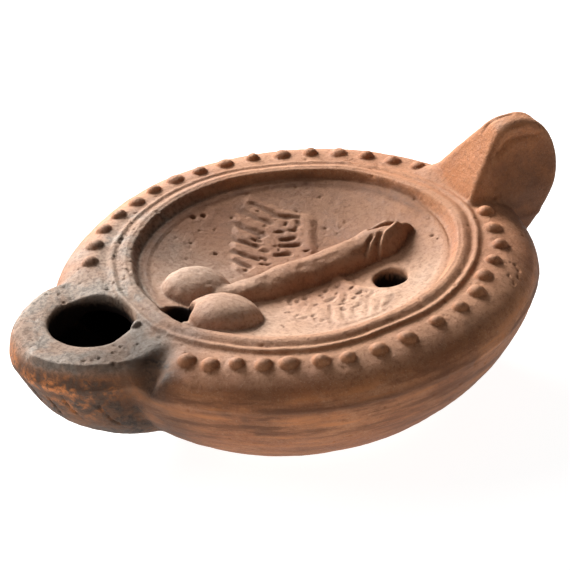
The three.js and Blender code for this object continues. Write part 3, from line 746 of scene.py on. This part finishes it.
# ------------------------------------------------------------------ masks the material reads
def masks(V, N):
    x, y, z = (V[:, d].astype(F) for d in range(3))
    n = N.astype(F)
    r = np.hypot(x, y)
    th = np.degrees(np.arctan2(y, x))

    def depth(d):
        return solid(x + n[:, 0] * F(d), y + n[:, 1] * F(d), z + n[:, 2] * F(d))

    # how far the surface looks into a hollow or crease; the material darkens these places with painted shade
    cav = np.clip(1 - depth(0.7) / 0.7, 0, 1) * 0.55 + np.clip(1 - depth(1.8) / 1.8, 0, 1) * 0.6
    cav = cav * (1 - 0.5 * smoothstep(24.6, 25.4, r) * smoothstep(33.4, 32.4, r))
    edge = np.clip(1 + depth(-0.8) / 0.8, 0, 1) * 0.8 + np.clip(1 + depth(-1.8) / 1.8, 0, 1) * 0.3
    # painted shade: near black inside the chamber, the nozzle's pocket, the wick hole, the filling hole and the vent
    inner = smoothstep(0.9, 0.2, CHAMBER(r, z))
    pocket = smoothstep(1.12, 1.02, np.sqrt(((x - 0.3) / 9.6) ** 2 + ((y + 35.2) / 11.5) ** 2 + ((z - 15.6) / 6.4) ** 2))
    wick = smoothstep(0.45, 0.0, hole(x, y, WICK, 0.03, 1.0, 0.12)) * smoothstep(24.3, 23.4, z) * (z > 14)
    fill = smoothstep(0.35, 0.0, hole(x, y, FILL, 0.05, 2.2)) * smoothstep(22.0, 20.9, z) * (z > 14)
    vent = smoothstep(0.5, 0.1, hole(x, y, VENT, 0.04, 0.4)) * smoothstep(24.8, 23.6, z) * (z > 14)
    hollow = np.maximum.reduce([inner, pocket, wick, fill, vent])

    # soot: round the wick hole, down the nozzle's near flank, over the ring beside it, on the body to the right
    def blob(cx, cy, cz, sx, sy, sz):
        return np.exp(-(((x - cx) / sx) ** 2 + ((y - cy) / sy) ** 2 + ((z - cz) / sz) ** 2))

    patch = 0.5 + 0.5 * fbm(x, y, z, 7.0, 4, 201)
    nozzle = smoothstep(-24, -33, y) * smoothstep(21, 13, np.abs(x - 0.5))
    topw = smoothstep(21.5, 23.6, z)
    ash = nozzle * topw
    ring = smoothstep(25.2, 26.6, r) * smoothstep(36, 32.5, r) * smoothstep(17, 20, z)
    arc = np.exp(-(((th + 112) / 32) ** 2)) + 0.55 * np.exp(-(((th + 75) / 22) ** 2)) + 0.55 * np.exp(-(((th + 152) / 24) ** 2))
    ash = np.maximum(ash, ring * arc * (0.55 + 0.6 * patch))
    ash = np.maximum(ash, 0.8 * blob(-14, -19, 22, 9, 7, 6) * patch)
    ash = np.maximum(ash, 0.75 * blob(-20, -30, 23, 6, 5, 5))
    # a painted sheen on the tops of the two round lumps
    painted_sheen = np.maximum(0.62 * blob(-3, -17.5, 23.5, 8, 8, 5), 0.42 * blob(9, -17.5, 24, 7, 7, 4)) * (0.6 + 0.6 * patch)
    flank = nozzle * (1 - topw)
    soot = flank * (0.62 + 0.75 * patch) * smoothstep(-30, -6, x * 1.0 + 0.4 * y + 8)
    soot = np.maximum(soot, 0.95 * blob(15, -33, 18, 5, 6, 9))
    soot = np.maximum(soot, 0.75 * blob(22, -34, 12, 9, 6, 10) * (0.5 + 0.8 * patch))
    soot = np.maximum(soot, 0.35 * blob(2, -30, 2, 20, 16, 8))
    soot = np.maximum(soot, 0.62 * blob(11, -36, 24.5, 5.5, 8.5, 3))
    soot = np.maximum(soot, 1.5 * blob(18.3, -34.2, 22.0, 4.2, 4.2, 4.6))
    soot = np.maximum(soot, 0.85 * blob(16.5, -32.5, 10, 7, 6, 8) * (0.6 + 0.6 * patch))
    soot = np.maximum(soot, 0.55 * blob(30, -25, 14, 11, 10, 9) * smoothstep(0.42, 0.62, patch))
    soot = np.maximum(soot, 1.3 * blob(14.5, -40.5, 16, 4.6, 6, 8) * (0.6 + 0.6 * patch))
    soot = np.maximum(soot, 0.6 * flank * smoothstep(12, 4, z))
    soot = np.maximum(soot, 0.75 * blob(24, -34.5, 15, 7, 6, 7) * smoothstep(0.35, 0.65, patch))
    orange = np.zeros_like(x)
    spots = smoothstep(0.42, 0.60, 0.5 + 0.5 * fbm(x, y, z, 1.5, 4, 202, 0.7))
    band = nozzle * np.exp(-(((z - 20.0) / 2.6) ** 2)) * smoothstep(-16, -5, x * -1 + 4)
    orange = np.maximum(orange, band * (0.15 + 0.95 * spots))
    orange = np.maximum(orange, 1.0 * blob(-9, -47, 17, 8, 6, 5) * (0.35 + 0.7 * spots))
    orange = np.maximum(orange, 0.7 * blob(9, -45, 16, 8, 5, 3.5) * spots)
    orange = np.maximum(orange, 0.25 * blob(16, -36, 12, 6, 6, 2.5) * spots)
    orange = np.maximum(orange, 0.25 * blob(6, -40, 5, 8, 6, 2.5) * spots)
    # warmer clay on the far inner wall, on the handle's face and round the filling hole
    warm = 0.95 * blob(-9, 25.5, 24, 13, 6, 3.5) + 0.5 * blob(10, 13, 22, 6, 5, 2)
    warm = warm + 0.8 * smoothstep(31, 33, y) * smoothstep(23, 27, z) * (0.6 + 0.4 * patch)
    warm = warm + 0.5 * blob(-34, -18, 22, 6, 10, 5) + 0.55 * blob(26, 24, 18, 12, 12, 8) * patch
    # painted highlight: paler on faces that look up, over the disc's right half and in a patch near the right-hand lump
    painted_highlight = 0.22 * smoothstep(0.72, 0.97, n[:, 2]) * smoothstep(18, 21, z)
    painted_highlight = np.maximum(painted_highlight, smoothstep(-2, 22, x + 0.2 * y) * smoothstep(27.5, 24, r) * 0.8) + 0.35 * blob(14, -14, 22, 10, 10, 4)
    # painted shade: a band along the mould seam under the shoulder's edge, the body's right side, the handle's near
    # side, the lower right belly, the disc's left half and the far inner wall
    dark = 1.0 * np.exp(-(((z - EQ_Z + 0.35) / 0.85) ** 2)) * smoothstep(38.5, 40.2, r) * smoothstep(0.22, 0.58, 0.5 + 0.5 * noise(x, y, z * 0, 8.0, 204))
    dark = dark + 0.7 * smoothstep(25, 38, x) * smoothstep(14, 24, z) * smoothstep(-12, 10, y) * 0.3
    dark = dark + 0.9 * smoothstep(34, 40, y) * smoothstep(0.4, 2.6, x) * smoothstep(12, 20, z)
    dark = dark + 0.68 * smoothstep(-2, 22, y + 0.2 * x) * smoothstep(22, 29, r) * smoothstep(22, 16, z) * smoothstep(0, 10, x)
    dark = dark + 0.56 * smoothstep(13, -13, x - 0.2 * y) * smoothstep(26, 24, r) * (z > 18) + 0.85 * smoothstep(24.0, 25.2, r) * smoothstep(27.4, 26.4, r) * smoothstep(8, -6, x) * (z > 18)
    side = smoothstep(34, 38, r) * smoothstep(24.5, 21, z) * (1 - 0.6 * nozzle)
    side = np.maximum(side, 0.6 * smoothstep(30, 34, r) * smoothstep(20, 14, z))
    # painted shade in the wings' cut grooves
    cuts = np.clip(height(x, y, CUTMAP) * 1.1, 0, 1) * (z > 18) * smoothstep(26, 25, r)
    return {"m_cut": cuts, "m_side": np.clip(side, 0, 1), "m_cavity": np.clip(cav, 0, 1), "m_edge": np.clip(edge, 0, 1), "m_painted_hollow_shade": np.clip(hollow, 0, 1), "m_ash": np.clip(ash, 0, 1), "m_painted_sheen": np.clip(painted_sheen, 0, 1), "m_soot": np.clip(soot, 0, 1),
            "m_orange": np.clip(orange, 0, 1), "m_warm": np.clip(warm, 0, 1), "m_painted_highlight": np.clip(painted_highlight, 0, 1), "m_painted_shade": np.clip(dark, 0, 1)}


# ------------------------------------------------------------------ mesh
def build_lamp():
    V, Q = surface()
    V = settle(V)
    g = gradient(V[:, 0], V[:, 1], V[:, 2])
    N = g / np.maximum(np.linalg.norm(g, axis=1, keepdims=True), 1e-6)
    D = wear(V, N)
    add_pits(V, N, D, pit_list())
    add_marks(V, D)
    V = V + N * D[:, None]
    V[:, 2] = np.maximum(V[:, 2], 0.0)

    me = bpy.data.meshes.new("oil_lamp")
    me.vertices.add(len(V))
    me.vertices.foreach_set("co", V.astype(F).ravel())
    me.loops.add(len(Q) * 4)
    me.loops.foreach_set("vertex_index", Q.astype(np.int32).ravel())
    me.polygons.add(len(Q))
    me.polygons.foreach_set("loop_start", np.arange(0, len(Q) * 4, 4, dtype=np.int32))
    me.update(calc_edges=True)
    me.validate()
    ob = bpy.data.objects.new("oil_lamp", me)
    bpy.context.scene.collection.objects.link(ob)

    dec = ob.modifiers.new("thin", "DECIMATE")
    dec.ratio = TRIANGLES / (2.0 * len(Q))
    dec.use_collapse_triangulate = True
    dg = bpy.context.evaluated_depsgraph_get()
    thin = bpy.data.meshes.new_from_object(ob.evaluated_get(dg))
    ob.modifiers.clear()
    ob.data = thin
    bpy.data.meshes.remove(me)
    thin.name = "oil_lamp"
    thin.polygons.foreach_set("use_smooth", np.ones(len(thin.polygons), bool))

    co = np.empty(len(thin.vertices) * 3, F)
    thin.vertices.foreach_get("co", co)
    P = co.reshape(-1, 3)
    g = gradient(P[:, 0], P[:, 1], P[:, 2], 0.2)
    N = g / np.maximum(np.linalg.norm(g, axis=1, keepdims=True), 1e-6)
    for name, values in masks(P, N).items():
        a = thin.attributes.new(name, "FLOAT", "POINT")
        a.data.foreach_set("value", values.astype(F))
    P = P.copy()
    P[:, 1] += AXIS_Y
    thin.vertices.foreach_set("co", (P * F(0.001)).ravel())
    thin.update()
    return ob


# ------------------------------------------------------------------ fired clay
def clay_material():
    m = bpy.data.materials.new("fired_clay")
    m.use_nodes = True
    t = m.node_tree
    t.nodes.clear()
    N, L = t.nodes.new, t.links.new
    out = N("ShaderNodeOutputMaterial")
    bsdf = N("ShaderNodeBsdfPrincipled")
    L(bsdf.outputs[0], out.inputs[0])
    coord = N("ShaderNodeTexCoord").outputs["Object"]

    def attr(name):
        n = N("ShaderNodeAttribute")
        n.attribute_name = name
        return n.outputs["Fac"]

    def tex(scale, detail=4.0, rough=0.55, distort=0.0, kind="FBM"):
        n = N("ShaderNodeTexNoise")
        n.noise_type = kind
        n.inputs["Scale"].default_value = scale
        n.inputs["Detail"].default_value = detail
        n.inputs["Roughness"].default_value = rough
        n.inputs["Distortion"].default_value = distort
        L(coord, n.inputs["Vector"])
        return n.outputs["Fac"]

    def ramp(fac, a, b, lo=0.0, hi=1.0):
        n = N("ShaderNodeMapRange")
        n.interpolation_type = "SMOOTHSTEP"
        n.inputs["From Min"].default_value = a
        n.inputs["From Max"].default_value = b
        n.inputs["To Min"].default_value = lo
        n.inputs["To Max"].default_value = hi
        L(fac, n.inputs["Value"])
        return n.outputs[0]

    def math_(op, a, b=None, c=None):
        n = N("ShaderNodeMath")
        n.operation = op
        n.use_clamp = False
        for k, v in enumerate((a, b, c)):
            if v is None:
                continue
            if isinstance(v, (int, float)):
                n.inputs[k].default_value = v
            else:
                L(v, n.inputs[k])
        return n.outputs[0]

    def clamp(a):
        n = N("ShaderNodeClamp")
        L(a, n.inputs[0])
        return n.outputs[0]

    def mix(fac, a, b, blend="MIX"):
        n = N("ShaderNodeMix")
        n.data_type = "RGBA"
        n.blend_type = blend
        n.clamp_factor = True
        for sock, v in ((n.inputs[0], fac), (n.inputs[6], a), (n.inputs[7], b)):
            if isinstance(v, tuple):
                sock.default_value = (*v, 1)
            elif isinstance(v, (int, float)):
                sock.default_value = v
            else:
                L(v, sock)
        return n.outputs[2]

    broad = tex(45, 3)
    mid = tex(170, 4, 0.6, 0.6)
    fine = tex(1300, 5, 0.7)
    grit = tex(3600, 3, 0.75)
    col = mix(ramp(broad, 0.35, 0.65), CLAY["tan"], CLAY["brick"])
    col = mix(ramp(mid, 0.42, 0.72, 0, 0.55), col, CLAY["pink"])
    col = mix(ramp(tex(95, 4, 0.6, 1.0), 0.5, 0.75, 0, 0.5), col, CLAY["brown"])
    col = mix(clamp(math_("MULTIPLY", attr("m_warm"), ramp(mid, 0.25, 0.6, 0.6, 1.0))), col, CLAY["orange"])
    # painted highlight on upward faces and the disc's right half
    col = mix(clamp(math_("MULTIPLY", attr("m_painted_highlight"), ramp(broad, 0.2, 0.7, 0.9, 0.45))), col, CLAY["painted_highlight"])
    col = mix(math_("MULTIPLY", attr("m_edge"), 0.55), col, CLAY["worn"])
    # painted shade: darker in hollows and creases
    cav = math_("MULTIPLY", attr("m_cavity"), ramp(fine, 0.3, 0.7, 0.55, 0.95))
    col = mix(clamp(math_("MULTIPLY", cav, 0.95)), col, CLAY["recess_shade"])
    # painted shade in the wings' cut grooves
    col = mix(clamp(math_("MULTIPLY", attr("m_cut"), 0.6)), col, CLAY["recess_shade"])
    # fine mottling and specks
    col = mix(ramp(fine, 0.45, 0.68, 0, 0.46), col, CLAY["brown"])
    col = mix(ramp(grit, 0.54, 0.70, 0, 0.50), col, CLAY["worn"])
    # wiped streaks running round the belly
    wipe = N("ShaderNodeMapping")
    wipe.inputs["Scale"].default_value = (1.0, 1.0, 7.0)
    L(coord, wipe.inputs["Vector"])
    wt = N("ShaderNodeTexNoise")
    wt.inputs["Scale"].default_value = 75
    wt.inputs["Detail"].default_value = 5
    wt.inputs["Roughness"].default_value = 0.62
    L(wipe.outputs[0], wt.inputs["Vector"])
    side = attr("m_side")
    col = mix(clamp(math_("MULTIPLY", side, ramp(wt.outputs["Fac"], 0.47, 0.63, 0, 0.85))), col, CLAY["brown"])
    col = mix(clamp(math_("MULTIPLY", side, ramp(wt.outputs["Fac"], 0.48, 0.35, 0, 0.75))), col, CLAY["orange"])
    # painted shade from the shade mask: seam band, right side, handle side, lower belly, left disc, far inner wall
    col = mix(clamp(math_("MULTIPLY", attr("m_painted_shade"), ramp(mid, 0.2, 0.6, 1.0, 0.7))), col, CLAY["shade"])
    # soot and ash, a painted sheen, the orange patches and painted shade in the hollows
    ashf = clamp(math_("MULTIPLY", attr("m_ash"), ramp(mid, 0.28, 0.6, 1.15, 0.75)))
    ashc = mix(ramp(fine, 0.40, 0.64), CLAY["ash"], CLAY["ash_dark"])
    ashc = mix(math_("MULTIPLY", attr("m_edge"), 0.5), ashc, CLAY["ash_light"])
    # painted shade: darker ash in hollows and creases
    ashc = mix(clamp(math_("MULTIPLY", attr("m_cavity"), 0.8)), ashc, CLAY["ash_dark"])
    col = mix(ashf, col, ashc)
    # painted sheen on the tops of the two round lumps
    col = mix(clamp(math_("MULTIPLY", attr("m_painted_sheen"), ramp(fine, 0.35, 0.62, 1.1, 0.6))), col, CLAY["painted_sheen"])
    sootc = mix(ramp(fine, 0.42, 0.66), CLAY["soot"], CLAY["soot_light"])
    col = mix(clamp(math_("MULTIPLY", attr("m_soot"), ramp(mid, 0.3, 0.62, 1.2, 0.8))), col, sootc)
    oc = mix(ramp(fine, 0.4, 0.65), CLAY["flame"], CLAY["soot_light"])
    col = mix(attr("m_orange"), col, oc)
    # painted shade inside the chamber and the holes
    col = mix(attr("m_painted_hollow_shade"), col, CLAY["hollow"])
    L(col, bsdf.inputs["Base Color"])

    rough = math_("ADD", ramp(mid, 0.3, 0.7, 0.66, 0.80), math_("MULTIPLY", attr("m_cavity"), 0.12))
    rough = math_("SUBTRACT", rough, math_("MULTIPLY", attr("m_edge"), 0.06))
    L(clamp(rough), bsdf.inputs["Roughness"])
    bsdf.inputs["Specular IOR Level"].default_value = 0.28

    h = math_("ADD", math_("MULTIPLY", fine, 0.55), math_("MULTIPLY", grit, 0.30))
    streak = N("ShaderNodeMapping")
    streak.inputs["Scale"].default_value = (1.0, 1.0, 9.0)
    L(coord, streak.inputs["Vector"])
    st = N("ShaderNodeTexNoise")
    st.inputs["Scale"].default_value = 120
    st.inputs["Detail"].default_value = 3
    L(streak.outputs[0], st.inputs["Vector"])
    h = math_("ADD", h, math_("MULTIPLY", st.outputs["Fac"], 0.25))
    bump = N("ShaderNodeBump")
    bump.inputs["Strength"].default_value = 0.85
    bump.inputs["Distance"].default_value = 0.00034
    L(h, bump.inputs["Height"])
    L(bump.outputs[0], bsdf.inputs["Normal"])
    return m


CLAY = {
    "tan": (0.42, 0.176, 0.076), "brick": (0.34, 0.122, 0.047), "pink": (0.46, 0.228, 0.125), "brown": (0.17, 0.062, 0.025), "orange": (0.52, 0.195, 0.070),
    "painted_highlight": (0.70, 0.52, 0.40), "worn": (0.56, 0.33, 0.20), "recess_shade": (0.042, 0.016, 0.008), "shade": (0.105, 0.037, 0.014),
    "ash": (0.265, 0.212, 0.172), "ash_dark": (0.098, 0.070, 0.053), "ash_light": (0.46, 0.39, 0.335), "painted_sheen": (0.57, 0.49, 0.425), "soot": (0.028, 0.016, 0.010), "soot_light": (0.085, 0.046, 0.026),
    "flame": (0.52, 0.175, 0.050), "hollow": (0.009, 0.004, 0.003),
}


def plain(name, colour, rough=0.9, glow=0.0):
    m = bpy.data.materials.new(name)
    m.use_nodes = True
    b = m.node_tree.nodes["Principled BSDF"]
    b.inputs["Base Color"].default_value = (*colour, 1)
    b.inputs["Roughness"].default_value = rough
    b.inputs["Specular IOR Level"].default_value = 0.1
    b.inputs["Emission Color"].default_value = (1, 1, 1, 1)
    b.inputs["Emission Strength"].default_value = glow
    return m


lamp = build_lamp()
lamp.data.materials.clear()
lamp.data.materials.append(clay_material())
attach(lamp, "root")
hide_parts("lamp_body")

# ------------------------------------------------------------------ stage, light and camera
floor_me = bpy.data.meshes.new("floor")
S = 6.0
floor_me.from_pydata([(-S, -S, 0), (S, -S, 0), (S, S, 0), (-S, S, 0)], [], [(0, 1, 2, 3)])
floor = bpy.data.objects.new("floor", floor_me)
floor.data.materials.append(plain("floor_white", (0.45, 0.45, 0.45), 0.9, 0.92))
floor.location.z = -0.00005
bpy.context.scene.collection.objects.link(floor)

E, DIST, FOCAL, ROLL, TX, TY = 0.544, 0.520, 3061.78, 0.086, 11.939, 10.357
AZ = math.radians(66.5)
back = Vector((math.sin(AZ) * math.cos(E), -math.cos(AZ) * math.cos(E), math.sin(E)))
right = Vector((math.cos(AZ), math.sin(AZ), 0))
upv = back.cross(right)
cr = right * math.cos(ROLL) - upv * math.sin(ROLL)
cu = right * math.sin(ROLL) + upv * math.cos(ROLL)
eye = back * DIST + Vector((0, AXIS_Y * 0.001, 0.0168))
aim = -back + cr * (-TX / FOCAL) + cu * (TY / FOCAL)
b2 = -aim.normalized()
r2 = (cr - b2 * cr.dot(b2)).normalized()
u2 = b2.cross(r2)
cam = bpy.data.cameras.new("camera")
cam.sensor_width = 36
cam.lens = FOCAL / 570 * 36
cam.clip_start = 0.01
cam.clip_end = 50
camera = bpy.data.objects.new("camera", cam)
camera.matrix_world = Matrix(((r2.x, u2.x, b2.x, eye.x), (r2.y, u2.y, b2.y, eye.y), (r2.z, u2.z, b2.z, eye.z), (0, 0, 0, 1)))
bpy.context.scene.collection.objects.link(camera)
bpy.context.scene.camera = camera


def area(name, direction, dist, size, power, colour=(1, 1, 1)):
    d = Vector(direction).normalized()
    li = bpy.data.lights.new(name, "AREA")
    li.shape = "DISK"
    li.size = size
    li.energy = power
    li.color = colour
    ob = bpy.data.objects.new(name, li)
    p = Vector((0, 0, 0.018)) + d * dist
    ob.matrix_world = Matrix.Translation(p) @ d.to_track_quat("Z", "Y").to_matrix().to_4x4()
    bpy.context.scene.collection.objects.link(ob)
    return ob


area("key", (-1.0, -0.10, 0.46), 0.9, 0.42, 25.0, (1.0, 0.97, 0.92))
area("left_top", (-0.45, -0.85, 0.75), 1.0, 0.6, 2.8, (1.0, 0.98, 0.96))

world = bpy.data.worlds.new("studio")
world.use_nodes = True
world.node_tree.nodes["Background"].inputs[0].default_value = (1.0, 0.94, 0.87, 1)
world.node_tree.nodes["Background"].inputs[1].default_value = 0.13
bpy.context.scene.world = world
bpy.context.scene.view_settings.view_transform = "Standard"
bpy.context.scene.view_settings.look = "None"
